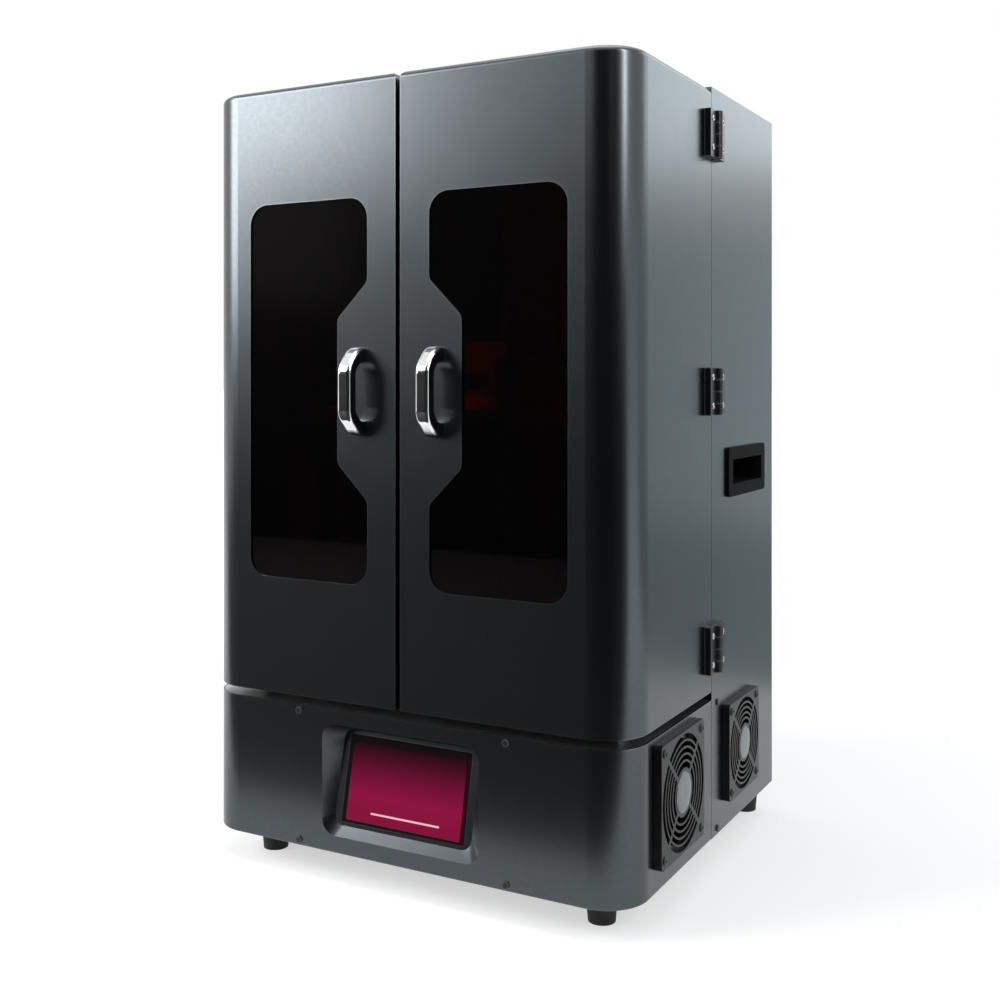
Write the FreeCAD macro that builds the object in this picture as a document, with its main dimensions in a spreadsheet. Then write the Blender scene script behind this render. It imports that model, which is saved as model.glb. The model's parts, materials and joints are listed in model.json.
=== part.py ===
import FreeCAD, Part
import math
import os
import Sketcher

# Resin printer: a floor-standing cabinet with two wrap-around doors.
# Millimetres, +Z up, the front faces -Y, the origin is on the floor under the middle of the machine.

doc = FreeCAD.newDocument("ResinPrinter")
sheet = doc.addObject("Spreadsheet::Sheet", "Sizes")


class Size:
    """A number together with the sheet expression that gives it."""

    def __init__(self, value, text):
        self.value = value
        self.text = text

    def __add__(self, other):
        other = size(other)
        return Size(self.value + other.value, f"({self.text} + {other.text})")

    def __sub__(self, other):
        other = size(other)
        return Size(self.value - other.value, f"({self.text} - {other.text})")

    def __mul__(self, other):
        other = size(other)
        return Size(self.value * other.value, f"({self.text} * {other.text})")

    def __truediv__(self, other):
        other = size(other)
        return Size(self.value / other.value, f"({self.text} / {other.text})")

    def __neg__(self):
        return self * -1

    def __radd__(self, other):
        return size(other) + self

    def __rsub__(self, other):
        return size(other) - self

    def __rmul__(self, other):
        return size(other) * self


def size(number):
    """A plain number as a Size, so that both kinds mix in a sum."""
    if isinstance(number, Size):
        return number
    return Size(float(number), f"({float(number):.6f})")


# The driving dimensions, one row of the sheet each.
DIMENSIONS = {
    # cabinet
    "body_width": 370,
    "body_depth": 328,
    "body_height": 590,
    "base_height": 109,
    "door_depth": 165,
    "corner_radius": 33,
    "sheet_wall": 1.5,
    "flange_width": 14,
    "panel_gap": 0.8,
    "edge_round": 2,
    "deck_thickness": 3,
    # doors
    "door_lift": 6.5,
    "door_drop": 1.5,
    "centre_gap": 4,
    "door_top_round": 5,
    "window_inner": 27.3,
    "window_outer": 139.2,
    "window_neck": 54.8,
    "window_height": 292,
    "window_rise": 351.5,
    "window_round": 16,
    "neck_height": 110,
    "pane_thickness": 3,
    "pane_lap": 7,
    "retainer_thickness": 1.5,
    # door handles
    "handle_offset": 34,
    "handle_length": 66,
    "handle_reach": 22,
    "handle_width": 11.5,
    "handle_bar": 8.5,
    "handle_leg": 10.5,
    "handle_cut": 14,
    "handle_bend": 15,
    "handle_round": 3,
    # hinges
    "hinge_length": 37,
    "hinge_leaf": 16.5,
    "hinge_thickness": 5.3,
    "hinge_pitch": 200.5,
    "hinge_rise": 150.5,
    "knuckle_radius": 4.5,
    "knuckle_standoff": 4.7,
    "pin_radius": 2.2,
    # running clearances
    "shaft_clearance": 0.05,
    "running_gap": 0.3,
    # screen dish
    "dish_width": 142,
    "dish_height": 89,
    "dish_rise": 55.5,
    "dish_round": 14,
    "dish_depth": 11,
    "dish_tilt": 12,
    "dish_margin": 11,
    "screen_width": 108,
    "screen_height": 65,
    "screen_thickness": 6,
    # fans
    "front_fan": 80,
    "rear_fan": 70,
    "fan_thickness": 25,
    "fan_rise": 60,
    "front_fan_back": 88.5,
    "rear_fan_back": 231.5,
    "guard_margin": 4,
    "guard_thickness": 5.5,
    "guard_bar": 1.6,
    "fan_rim": 2,
    "hub_radius": 16,
    "blade_thickness": 2,
    # carry handles
    "grip_length": 97,
    "grip_height": 40,
    "grip_rise": 285,
    "grip_back": 249,
    "grip_depth": 24,
    "grip_wall": 2.5,
    "grip_flange": 10,
    "grip_lip": 2.5,
    # feet and screws
    "foot_height": 24,
    "foot_radius": 12,
    "front_foot_x": 146.5,
    "front_foot_back": 41,
    "rear_foot_x": 164,
    "rear_foot_back": 314,
    "screw_radius": 2.6,
    "screw_head": 1.2,
    "front_screw_x": 91,
    "screw_edge": 4.5,
    "side_screw_back": 179,
    # optics and vat
    "lcd_length": 310,
    "lcd_width": 182,
    "lcd_setback": 138,
    "lcd_clearance": 1,
    "light_height": 62,
    "light_wall": 2,
    "light_rim": 6,
    "sink_length": 150,
    "sink_width": 110,
    "sink_plate": 6,
    "fin_height": 24,
    "fin_thickness": 2,
    "fin_count": 13,
    "vat_length": 326,
    "vat_width": 206,
    "vat_bore_length": 300,
    "vat_bore_width": 172,
    "vat_height": 40,
    "film_thickness": 0.5,
    "vat_round": 12,
    "knob_radius": 7,
    "knob_height": 14,
    # lift
    "column_width": 114,
    "column_depth": 38,
    "column_wall": 14,
    "column_web": 6,
    "column_back": 271,
    "column_clearance": 8,
    "rail_width": 12,
    "rail_height": 8,
    "block_width": 26,
    "block_height": 10,
    "block_length": 56,
    "screw_rod_radius": 6,
    "screw_inset": 14,
    "coupler_radius": 11,
    "coupler_length": 16,
    "motor_shaft_radius": 4,
    "motor_size": 57,
    "motor_length": 76,
    "bearing_height": 14,
    "plate_height": 217,
    "carriage_height": 64,
    "carriage_thickness": 8,
    "nut_height": 24,
    "nut_width": 40,
    "arm_width": 60,
    "arm_nose": 11,
    "build_length": 290,
    "build_width": 163,
    "build_thickness": 12,
    "neck_block": 46,
    # back panel fittings
    "inlet_x": 118,
    "inlet_rise": 40,
    "inlet_width": 30,
    "inlet_height": 50,
    "inlet_depth": 30,
    "inlet_lip": 3,
    "rocker_height": 16,
    "rocker_width": 20,
    "port_x": 95,
    "port_rise": 44,
    "back_inset": 3,
    "vent_length": 60,
    "vent_height": 4,
    "vent_pitch": 12,
    "vent_count": 9,
    # electronics
    "supply_length": 100,
    "supply_width": 76,
    "supply_height": 48,
    "board_length": 104,
    "board_width": 72,
    "board_lift": 8,
    "board_thickness": 2,
    "post_radius": 5,
}


def fill_sheet():
    """Writes each dimension to the sheet as plain text and returns them as named sizes."""
    named = {}
    for row, (name, value) in enumerate(DIMENSIONS.items(), start=1):
        cell = f"B{row}"
        sheet.set(f"A{row}", name)
        sheet.set(cell, str(value))
        sheet.setAlias(cell, name)
        named[name] = Size(float(value), f"Sizes.{name}")
    doc.recompute()
    return named


class Namespace:
    """The sizes as attributes."""

    def __init__(self, named):
        self.__dict__.update(named)


d = Namespace(fill_sheet())

# Levels and faces that several pieces share.
half = d.body_width / 2
front = -(d.body_depth - d.handle_reach) / 2
back = front + d.body_depth
seam = front + d.door_depth
base_z = d.foot_height
deck_z = base_z + d.base_height
deck_under = deck_z - d.deck_thickness
pan_z = base_z + d.sheet_wall
door_z = deck_z + d.door_lift
top_z = base_z + d.body_height
door_top = top_z - d.door_drop
door_height = door_top - door_z
inner_half = half - d.sheet_wall
lcd_y = front + d.lcd_setback
column_front = front + d.column_back
hinge_axis_x = half + d.knuckle_standoff
sub_parts = []


def bind(target, path, amount):
    """Ties one property to its sheet expression."""
    target.setExpression(path, size(amount).text)


def keep(target, label):
    """Names a finished sub-part and lists it for writing."""
    target.Label = label
    sub_parts.append(target)
    return target


def place(target, x=0, y=0, z=0, turn=None):
    """Moves a sub-part to its seat; turn is an axis vector and an angle in degrees."""
    if turn:
        target.Placement = FreeCAD.Placement(FreeCAD.Vector(), FreeCAD.Rotation(*turn))
    for axis, amount in zip("xyz", (x, y, z)):
        bind(target, f"Placement.Base.{axis}", amount)


PLANES = {"XY": ("XY_Plane", 1), "XZ": ("XZ_Plane", -1), "YZ": ("YZ_Plane", 1)}


class Piece:
    """A body whose sketches lie on its own origin planes or on planes parallel to them."""

    def __init__(self, label):
        self.body = doc.addObject("PartDesign::Body", label)
        self.label = label
        self.count = 0

    def name(self, kind):
        self.count += 1
        return f"{self.label}_{kind}_{self.count}"

    def sketch(self, plane="XY", level=0, tilt=0):
        """An empty sketch on a plane at a level along that plane's axis; tilt leans it back about its x axis."""
        role, normal = PLANES[plane]
        made = self.body.newObject("Sketcher::SketchObject", self.name("sketch"))
        origin = [f for f in self.body.Origin.OriginFeatures if f.Role == role][0]
        made.AttachmentSupport = [(origin, "")]
        made.MapMode = "FlatFace"
        bind(made, "AttachmentOffset.Base.z", size(level) * normal)
        if tilt:
            lean = FreeCAD.Rotation(FreeCAD.Vector(-1, 0, 0), size(tilt).value)
            made.AttachmentOffset = FreeCAD.Placement(FreeCAD.Vector(), lean)
            made.setExpression("AttachmentOffset.Rotation.Angle", f"{size(tilt).text} * 1 deg")
        return Outline(made, normal)

    def feature(self, kind, **links):
        made = self.body.newObject(f"PartDesign::{kind}", self.name(kind.lower()))
        for key, link in links.items():
            setattr(made, key, link)
        return made

    def pad(self, outline, length, toward=1):
        """Adds material along the sketch's axis, towards its positive or negative end."""
        made = self.feature("Pad", Profile=outline.sketch, Reversed=(toward != outline.normal))
        bind(made, "Length", length)
        return made

    def pocket(self, outline, length, toward=1):
        """Removes material along the sketch's axis, towards its positive or negative end."""
        made = self.feature("Pocket", Profile=outline.sketch, Reversed=(toward == outline.normal))
        bind(made, "Length", length)
        return made

    def round_edges(self, radius, wanted, kind="Fillet"):
        """Rounds or bevels the edges that a test picks from the shape so far."""
        doc.recompute()
        base = self.body.Tip
        names = [f"Edge{i}" for i, edge in enumerate(base.Shape.Edges, start=1) if wanted(edge)]
        made = self.feature(kind, Base=(base, names))
        bind(made, "Radius" if kind == "Fillet" else "Size", radius)
        return made

    def finish(self, x=0, y=0, z=0, turn=None):
        place(self.body, x, y, z, turn)
        return keep(self.body, self.label)


class Outline:
    """Closed outlines in one sketch, each point held by sheet expressions."""

    def __init__(self, sketch, normal):
        self.sketch = sketch
        self.normal = normal

    def hold(self, kind, geometry, point, amount):
        amount = size(amount)
        index = self.sketch.addConstraint(Sketcher.Constraint(kind, -1, 1, geometry, point, amount.value))
        self.sketch.setExpression(f"Constraints[{index}]", amount.text)

    def fix(self, geometry, point, where):
        self.hold("DistanceX", geometry, point, where[0])
        self.hold("DistanceY", geometry, point, where[1])

    def circle(self, x, y, radius):
        centre = FreeCAD.Vector(size(x).value, size(y).value, 0)
        made = self.sketch.addGeometry(Part.Circle(centre, FreeCAD.Vector(0, 0, 1), size(radius).value))
        self.fix(made, 3, (x, y))
        index = self.sketch.addConstraint(Sketcher.Constraint("Radius", made, size(radius).value))
        self.sketch.setExpression(f"Constraints[{index}]", size(radius).text)
        return self

    def rectangle(self, x0, x1, y0, y1, radius=None):
        return self.polygon([(x0, y0, radius), (x1, y0, radius), (x1, y1, radius), (x0, y1, radius)])

    def polygon(self, points):
        """Straight sides through the points; a third entry rounds that corner by a radius."""
        corners = [(size(p[0]), size(p[1]), p[2] if len(p) > 2 else None) for p in points]
        count = len(corners)
        sides = []
        for i, (x, y, _) in enumerate(corners):
            nx, ny, _ = corners[(i + 1) % count]
            length = math.hypot(nx.value - x.value, ny.value - y.value)
            sides.append(((nx.value - x.value) / length, (ny.value - y.value) / length))
        lines = []
        for i in range(count):
            start = self.step_off(corners[i], sides[i - 1], sides[i], sides[i])
            after = (i + 1) % count
            end = self.step_off(corners[after], sides[i], sides[after], (-sides[i][0], -sides[i][1]))
            ends = [FreeCAD.Vector(p[0].value, p[1].value, 0) for p in (start, end)]
            line = self.sketch.addGeometry(Part.LineSegment(*ends))
            self.fix(line, 1, start)
            if corners[after][2] is not None:
                self.fix(line, 2, end)
            lines.append(line)
        for i in range(count):
            if corners[i][2] is None:
                self.join(lines[i - 1], 2, lines[i], 1)
            else:
                self.round_corner(lines[i - 1], lines[i], corners[i], sides[i - 1], sides[i])
        return self

    def join(self, first, first_end, second, second_end):
        self.sketch.addConstraint(Sketcher.Constraint("Coincident", first, first_end, second, second_end))

    @staticmethod
    def step_off(corner, before, after, way):
        """The point where a rounded corner's arc leaves a side, or the corner itself."""
        x, y, radius = corner
        if radius is None:
            return (x, y)
        turn = math.acos(max(-1, min(1, before[0] * after[0] + before[1] * after[1])))
        reach = size(radius) * math.tan(turn / 2)
        return (x + reach * round(way[0], 9), y + reach * round(way[1], 9))

    def round_corner(self, before, after, corner, way_in, way_out):
        geometry = self.sketch.Geometry
        start, end = geometry[before].EndPoint, geometry[after].StartPoint
        left = way_in[0] * way_out[1] - way_in[1] * way_out[0] > 0
        aside = FreeCAD.Vector(-way_in[1], way_in[0], 0) * (1 if left else -1)
        centre = start + aside * size(corner[2]).value
        first, last = (start, end) if left else (end, start)
        angles = [math.atan2(p.y - centre.y, p.x - centre.x) for p in (first, last)]
        circle = Part.Circle(centre, FreeCAD.Vector(0, 0, 1), size(corner[2]).value)
        arc = self.sketch.addGeometry(Part.ArcOfCircle(circle, *angles))
        first_end, last_end = (1, 2) if left else (2, 1)
        self.sketch.addConstraint(Sketcher.Constraint("Tangent", before, 2, arc, first_end))
        self.join(after, 1, arc, last_end)


def at_level(edge, axis, level, spread=0.01):
    """True where the whole edge lies on one level along an axis."""
    low = getattr(edge.BoundBox, axis + "Min")
    high = getattr(edge.BoundBox, axis + "Max")
    return abs(low - level) < spread and abs(high - level) < spread


# Cabinet shell

def cabinet_outline(outline, inset, rear):
    """The cabinet's plan: square at the rear, round at the two front corners."""
    side = half - inset
    radius = d.corner_radius - inset
    return outline.polygon([(-side, rear), (-side, front + inset, radius), (side, front + inset, radius), (side, rear)])


def base_pan():
    piece = Piece("base_pan")
    plan = cabinet_outline(piece.sketch("XY", base_z), d.sheet_wall, back - d.back_inset - d.sheet_wall)
    piece.pad(plan, d.sheet_wall)
    piece.finish()


def deck_plate():
    piece = Piece("deck_plate")
    plan = cabinet_outline(piece.sketch("XY", deck_under), d.sheet_wall, back - d.back_inset - d.sheet_wall)
    piece.pad(plan, d.deck_thickness)
    holes = piece.sketch("XY", deck_under)
    long_half = d.lcd_length / 2 + d.lcd_clearance
    wide_half = d.lcd_width / 2 + d.lcd_clearance
    holes.rectangle(-long_half, long_half, lcd_y - wide_half, lcd_y + wide_half)
    holes.circle(0, column_front + d.screw_inset, d.coupler_radius + d.edge_round)
    piece.pocket(holes, d.deck_thickness)
    piece.finish()


def base_front_cover():
    """Front and half of each side in one skin, with a dish that leans the screen back."""
    piece = Piece("base_front_cover")
    inner = half - d.sheet_wall
    bend = d.corner_radius - d.sheet_wall
    rear = seam - d.panel_gap
    wrap = piece.sketch("XY", base_z).polygon([
        (-half, rear), (-half, front, d.corner_radius), (half, front, d.corner_radius), (half, rear),
        (inner, rear), (inner, front + d.sheet_wall, bend), (-inner, front + d.sheet_wall, bend), (-inner, rear)])
    piece.pad(wrap, d.base_height)
    dish_z = base_z + d.dish_rise
    wide = d.dish_width / 2
    tall = d.dish_height / 2
    backing = piece.sketch("XZ", front + d.sheet_wall)
    backing.rectangle(-wide, wide, dish_z - tall, dish_z + tall, d.dish_round)
    piece.pad(backing, d.dish_depth * 2)
    mouth = piece.sketch("XZ", front)
    lip = d.edge_round
    mouth.rectangle(lip - wide, wide - lip, dish_z - tall + lip, dish_z + tall - lip, d.dish_round - lip)
    dish_floor(piece, d.dish_margin, "SubtractiveLoft", mouth)
    opening = leaning_sketch(piece)
    screen_outline(opening)
    piece.pocket(opening, d.dish_depth * 3)
    fan_hole = piece.sketch("YZ", -half)
    fan_hole.circle(front + d.front_fan_back, base_z + d.fan_rise, d.front_fan / 2 - d.fan_rim)
    piece.pocket(fan_hole, d.body_width)
    low = base_z.value
    piece.round_edges(d.edge_round / 2, lambda e: at_level(e, "Z", low) and touches_outside(e))
    piece.finish()


def touches_outside(edge):
    """True for an edge of the cabinet's outer skin, away from the seam."""
    box = edge.BoundBox
    on_side = abs(max(abs(box.XMin), abs(box.XMax)) - half.value) < 0.01
    on_front = abs(box.YMin - front.value) < 0.01
    return (on_side or on_front) and box.YMax - box.YMin + box.XMax - box.XMin > d.flange_width.value


def cosine(degrees):
    return Size(math.cos(math.radians(degrees.value)), f"cos({degrees.text} * 1 deg)")


def tangent(degrees):
    return Size(math.tan(math.radians(degrees.value)), f"tan({degrees.text} * 1 deg)")


screen_z = base_z + d.dish_rise
screen_along = screen_z / cosine(d.dish_tilt)


def leaning_sketch(piece):
    """A sketch on the dish floor, which leans back about the middle of the screen."""
    foot = front + d.dish_depth - screen_z * tangent(d.dish_tilt)
    return piece.sketch("XZ", foot, d.dish_tilt)


def screen_outline(outline):
    wide = d.screen_width / 2
    tall = d.screen_height / 2
    outline.rectangle(-wide, wide, screen_along - tall, screen_along + tall)


def dish_floor(piece, margin, kind, mouth):
    """Lofts between the upright mouth and the leaning floor."""
    floor = leaning_sketch(piece)
    wide = d.dish_width / 2 - margin
    tall = d.dish_height / 2 - margin + 2
    floor.rectangle(-wide, wide, screen_along - tall, screen_along + tall, d.dish_round - 6)
    made = piece.feature(kind, Profile=mouth.sketch)
    made.Sections = [floor.sketch]
    return made


def touch_screen():
    piece = Piece("touch_screen")
    glass = leaning_sketch(piece)
    screen_outline(glass)
    piece.pad(glass, d.screen_thickness)
    piece.finish()


def side_panel(name, side):
    """Rear half of one side, folded inwards at the seam and at the back."""
    piece = Piece(name)
    skin = side * half
    inside = side * inner_half
    lip = side * (half - d.flange_width)
    rear = back - d.back_inset - d.sheet_wall
    plan = piece.sketch("XY", base_z).polygon([(skin, seam), (skin, back), (inside, back), (inside, seam)])
    piece.pad(plan, d.body_height)
    for fold_y in (seam, rear - d.sheet_wall):
        fold = piece.sketch("XY", deck_z).polygon([
            (inside, fold_y), (lip, fold_y), (lip, fold_y + d.sheet_wall), (inside, fold_y + d.sheet_wall)])
        piece.pad(fold, top_z - d.sheet_wall - deck_z)
    holes = piece.sketch("YZ", size(0))
    holes.circle(front + d.rear_fan_back, base_z + d.fan_rise, d.rear_fan / 2 - d.fan_rim)
    grip_y = front + d.grip_back
    grip_z = base_z + d.grip_rise
    wide = d.grip_length / 2 - d.grip_flange + d.grip_wall
    tall = d.grip_height / 2 - d.grip_flange + d.grip_wall
    holes.rectangle(grip_y - wide, grip_y + wide, grip_z - tall, grip_z + tall)
    piece.pocket(holes, half, side)
    piece.finish()


def back_panel():
    piece = Piece("back_panel")
    outer = back - d.back_inset
    sheet_outline = piece.sketch("XZ", outer)
    sheet_outline.rectangle(-inner_half, inner_half, base_z, top_z - d.sheet_wall)
    piece.pad(sheet_outline, d.sheet_wall, -1)
    holes = piece.sketch("XZ", outer)
    inlet_z = base_z + d.inlet_rise
    wide = d.inlet_width / 2
    holes.rectangle(-d.inlet_x - wide, -d.inlet_x + wide, inlet_z - d.inlet_height / 2, inlet_z + d.inlet_height / 2)
    port_holes(holes)
    piece.pocket(holes, d.sheet_wall, -1)
    slot = piece.sketch("XZ", outer)
    slot_z = deck_z + d.vent_length
    slot.rectangle(-d.vent_length, d.vent_length, slot_z, slot_z + d.vent_height)
    cut = piece.pocket(slot, d.sheet_wall, -1)
    rows = piece.feature("LinearPattern", Originals=[cut], Direction=(slot.sketch, ["V_Axis"]))
    bind(rows, "Length", d.vent_pitch * (d.vent_count - 1))
    bind(rows, "Occurrences", d.vent_count)
    piece.body.Tip = rows
    piece.finish()


def top_panel():
    piece = Piece("top_panel")
    plan = piece.sketch("XY", top_z - d.sheet_wall)
    plan.rectangle(-inner_half, inner_half, seam, back - d.back_inset)
    piece.pad(plan, d.sheet_wall)
    piece.finish()


PORT_SIZES = ((0, 14, 15), (24, 17, 14))


def port_holes(outline):
    """Openings for the USB and network sockets."""
    for along, wide, tall in PORT_SIZES:
        x = d.port_x + along
        z = base_z + d.port_rise
        outline.rectangle(x - wide / 2, x + wide / 2, z - tall / 2, z + tall / 2)


base_pan()
deck_plate()
base_front_cover()
touch_screen()
side_panel("left_side_panel", -1)
side_panel("right_side_panel", 1)
back_panel()
top_panel()


# Doors

def window_outline(outline, side, grow):
    """Window with a neck beside the handle; the neck's shoulders slope at 45 degrees."""
    mid = base_z + d.window_rise
    tall = d.window_height / 2 + grow
    near = d.window_inner - grow
    neck = d.window_neck - grow
    step = d.neck_height / 2 - grow
    shoulder = step + (neck - near)
    radius = d.window_round
    points = [
        (d.window_outer + grow, mid - tall, radius), (d.window_outer + grow, mid + tall, radius),
        (near, mid + tall, radius), (near, mid + shoulder, radius / 2), (neck, mid + step, radius / 2),
        (neck, mid - step, radius / 2), (near, mid - shoulder, radius / 2), (near, mid - tall, radius)]
    outline.polygon([(side * x, z, r) for x, z, r in points])


def door_shell(name, side):
    """An L-shaped door: a round-cornered tray with folded edges, a closed top and a window."""
    piece = Piece(name)
    edge = d.centre_gap / 2
    wall = d.sheet_wall
    rim = d.flange_width

    def quarter(level, inset, toward_middle, toward_seam):
        plan = piece.sketch("XY", level)
        skin = side * (half - inset)
        return plan.polygon([
            (side * toward_middle, toward_seam), (side * toward_middle, front + inset),
            (skin, front + inset, d.corner_radius - inset), (skin, toward_seam)])

    rear = seam - d.panel_gap
    piece.pad(quarter(door_z, size(0), edge, rear), door_height)
    crown = door_top.value
    piece.round_edges(d.door_top_round, lambda e: at_level(e, "Z", crown) and touches_outside(e))
    piece.pocket(quarter(door_z + wall, wall, edge + wall, rear - wall), door_height - wall * 2)
    piece.pocket(quarter(door_z, rim, edge - 1, rear + 1), door_height - wall)
    window = piece.sketch("XZ", front)
    window_outline(window, side, size(0))
    piece.pocket(window, wall)
    piece.finish()


def window_pane(name, side):
    piece = Piece(name)
    outline = piece.sketch("XZ", front + d.sheet_wall)
    window_outline(outline, side, d.pane_lap)
    piece.pad(outline, d.pane_thickness)
    piece.finish()


def window_retainer(name, side):
    piece = Piece(name)
    ring = piece.sketch("XZ", front + d.sheet_wall + d.pane_thickness)
    window_outline(ring, side, d.pane_lap)
    window_outline(ring, side, size(0))
    piece.pad(ring, d.retainer_thickness)
    piece.finish()


def on_handle_crown(edge, out, tall):
    """True for the handle's long outer edges, from one leg's foot to the other's."""
    box = edge.BoundBox
    far = max(abs(box.ZMin), abs(box.ZMax))
    return box.XLength < 0.01 and box.YMin < -0.01 and (abs(box.YMin - out) < 0.01 or abs(far - tall) < 0.01)


def door_handle(name, side):
    """A bridge handle: two legs, two swept corners and a grip, round on the outside."""
    piece = Piece(name)
    out = -d.handle_reach
    tall = d.handle_length / 2
    cut = d.handle_cut
    bend = d.handle_bend
    grip_in = out + d.handle_bar
    leg_in = tall - d.handle_leg
    profile = piece.sketch("YZ", -d.handle_width / 2).polygon([
        (0, -tall), (0, -leg_in), (grip_in + cut / 2, -leg_in, bend / 2), (grip_in, cut / 2 - leg_in, bend / 2),
        (grip_in, leg_in - cut / 2, bend / 2), (grip_in + cut / 2, leg_in, bend / 2), (0, leg_in), (0, tall),
        (out + cut, tall, bend), (out, tall - cut, bend), (out, cut - tall, bend), (out + cut, -tall, bend)])
    piece.pad(profile, d.handle_width)
    reach = (out.value, tall.value)
    piece.round_edges(d.handle_round, lambda e: on_handle_crown(e, *reach))
    piece.finish(side * d.handle_offset, front, base_z + d.window_rise)


def hinge_leaves(name, side, is_door):
    """Three block leaves in a row, each with its own knuckles; the door's leaves carry the pins."""
    piece = Piece(f"{name}_hinge_leaf")
    away = -1 if is_door else 1
    near = d.knuckle_radius + d.running_gap * 2
    part = d.hinge_length / 4
    leaf = piece.sketch("XY", 0)
    skin = -d.knuckle_standoff
    proud = skin + d.hinge_thickness
    leaf.polygon([(side * skin, away * near), (side * skin, away * d.hinge_leaf),
                  (side * proud, away * d.hinge_leaf), (side * proud, away * near)])
    piece.pad(leaf, d.hinge_length)
    cut_back = d.running_gap / 2
    for index in (0, 2) if is_door else (1, 3):
        low = part * index + cut_back
        web = piece.sketch("XY", low)
        web.polygon([(side * skin, away * 0.5), (side * skin, away * (near + 1)),
                     (side * proud, away * (near + 1)), (side * proud, away * 0.5)])
        piece.pad(web, part - d.running_gap)
        piece.pad(piece.sketch("XY", low).circle(0, 0, d.knuckle_radius), part - d.running_gap)
    if is_door:
        piece.pad(piece.sketch("XY", cut_back).circle(0, 0, d.pin_radius), d.hinge_length - d.running_gap)
    else:
        bore = piece.sketch("XY", 0).circle(0, 0, d.pin_radius + d.shaft_clearance)
        piece.pocket(bore, d.hinge_length)
    low = base_z + d.hinge_rise - d.hinge_length / 2
    return [linked_copy(piece.body, side * hinge_axis_x, seam, low + d.hinge_pitch * row) for row in range(3)]


def linked_copy(source, x, y, z):
    """A linked copy of a body, moved to its own seat."""
    copy = doc.addObject("App::Link", f"{source.Name}_copy")
    copy.LinkedObject = source
    for axis, amount in zip("xyz", (x, y, z)):
        bind(copy, f"Placement.Base.{axis}", amount)
    return copy


def group(name, solids):
    """Alike small pieces kept together as one sub-part."""
    made = doc.addObject("Part::Compound", name)
    made.Links = solids
    keep(made, name)


cabinet_leaves = []
for side_name, side_sign in (("left", -1), ("right", 1)):
    door_shell(f"{side_name}_door_shell", side_sign)
    window_pane(f"{side_name}_window_pane", side_sign)
    window_retainer(f"{side_name}_window_retainer", side_sign)
    door_handle(f"{side_name}_door_handle", side_sign)
    group(f"{side_name}_hinge_door_leaves", hinge_leaves(f"{side_name}_door", side_sign, True))
    cabinet_leaves += hinge_leaves(f"{side_name}_cabinet", side_sign, False)
group("hinge_cabinet_leaves", cabinet_leaves)


# Fans, each with a frame, a rotor and an outer guard; the local +X axis points out of the cabinet

def fan_seats():
    for side_name, side in (("left", -1), ("right", 1)):
        for end, across, setback in (("front", d.front_fan, d.front_fan_back), ("rear", d.rear_fan, d.rear_fan_back)):
            yield f"{side_name}_{end}_fan", side, across, front + setback


def outward(side):
    """The turn that points local +X away from the cabinet on one side."""
    return (FreeCAD.Vector(0, 0, 1), 0 if side > 0 else 180)


GUARD_RINGS = 4
GUARD_DISC_SHARE = 0.42


def fan_guard(name, side, across, y):
    """Square rim, four rings, two crossed spokes and a middle disc."""
    piece = Piece(f"{name}_guard")
    outer = across / 2 + d.guard_margin
    mouth = outer - d.fan_rim
    rim = piece.sketch("YZ", 0).rectangle(-outer, outer, -outer, outer, d.guard_margin)
    rim.circle(0, 0, mouth)
    piece.pad(rim, d.guard_thickness)
    bar = d.guard_bar * math.sqrt(0.5)
    reach = mouth * math.sqrt(0.5) + d.fan_rim
    depth = d.guard_thickness / 2
    for slope in (1, -1):
        spoke = piece.sketch("YZ", depth).polygon([
            (-reach - bar, slope * (-reach + bar)), (-reach + bar, slope * (-reach - bar)),
            (reach + bar, slope * (reach - bar)), (reach - bar, slope * (reach + bar))])
        piece.pad(spoke, depth)
    disc = mouth * GUARD_DISC_SHARE
    step = (mouth - disc) / (GUARD_RINGS + 1)
    for ring in range(GUARD_RINGS):
        radius = disc + step * (ring + 1)
        annulus = piece.sketch("YZ", depth).circle(0, 0, radius + d.guard_bar / 2)
        annulus.circle(0, 0, radius - d.guard_bar / 2)
        piece.pad(annulus, depth)
    piece.pad(piece.sketch("YZ", depth).circle(0, 0, disc), depth)
    piece.finish(side * half, y, base_z + d.fan_rise, outward(side))


def fan_frame(name, side, across, y):
    """Square duct with a hub held by four struts at its inner end."""
    piece = Piece(f"{name}_frame")
    outer = across / 2
    duct = piece.sketch("YZ", -d.fan_thickness).rectangle(-outer, outer, -outer, outer, d.guard_margin)
    duct.circle(0, 0, outer - d.fan_rim)
    piece.pad(duct, d.fan_thickness)
    bar = d.guard_bar * 3
    strut = d.sheet_wall * 2
    for wide, tall in ((outer - d.fan_rim / 2, bar), (bar, outer - d.fan_rim / 2)):
        piece.pad(piece.sketch("YZ", -d.fan_thickness).rectangle(-wide, wide, -tall, tall), strut)
    piece.pad(piece.sketch("YZ", -d.fan_thickness).circle(0, 0, d.hub_radius), strut)
    piece.finish(side * inner_half, y, base_z + d.fan_rise, outward(side))


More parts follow.
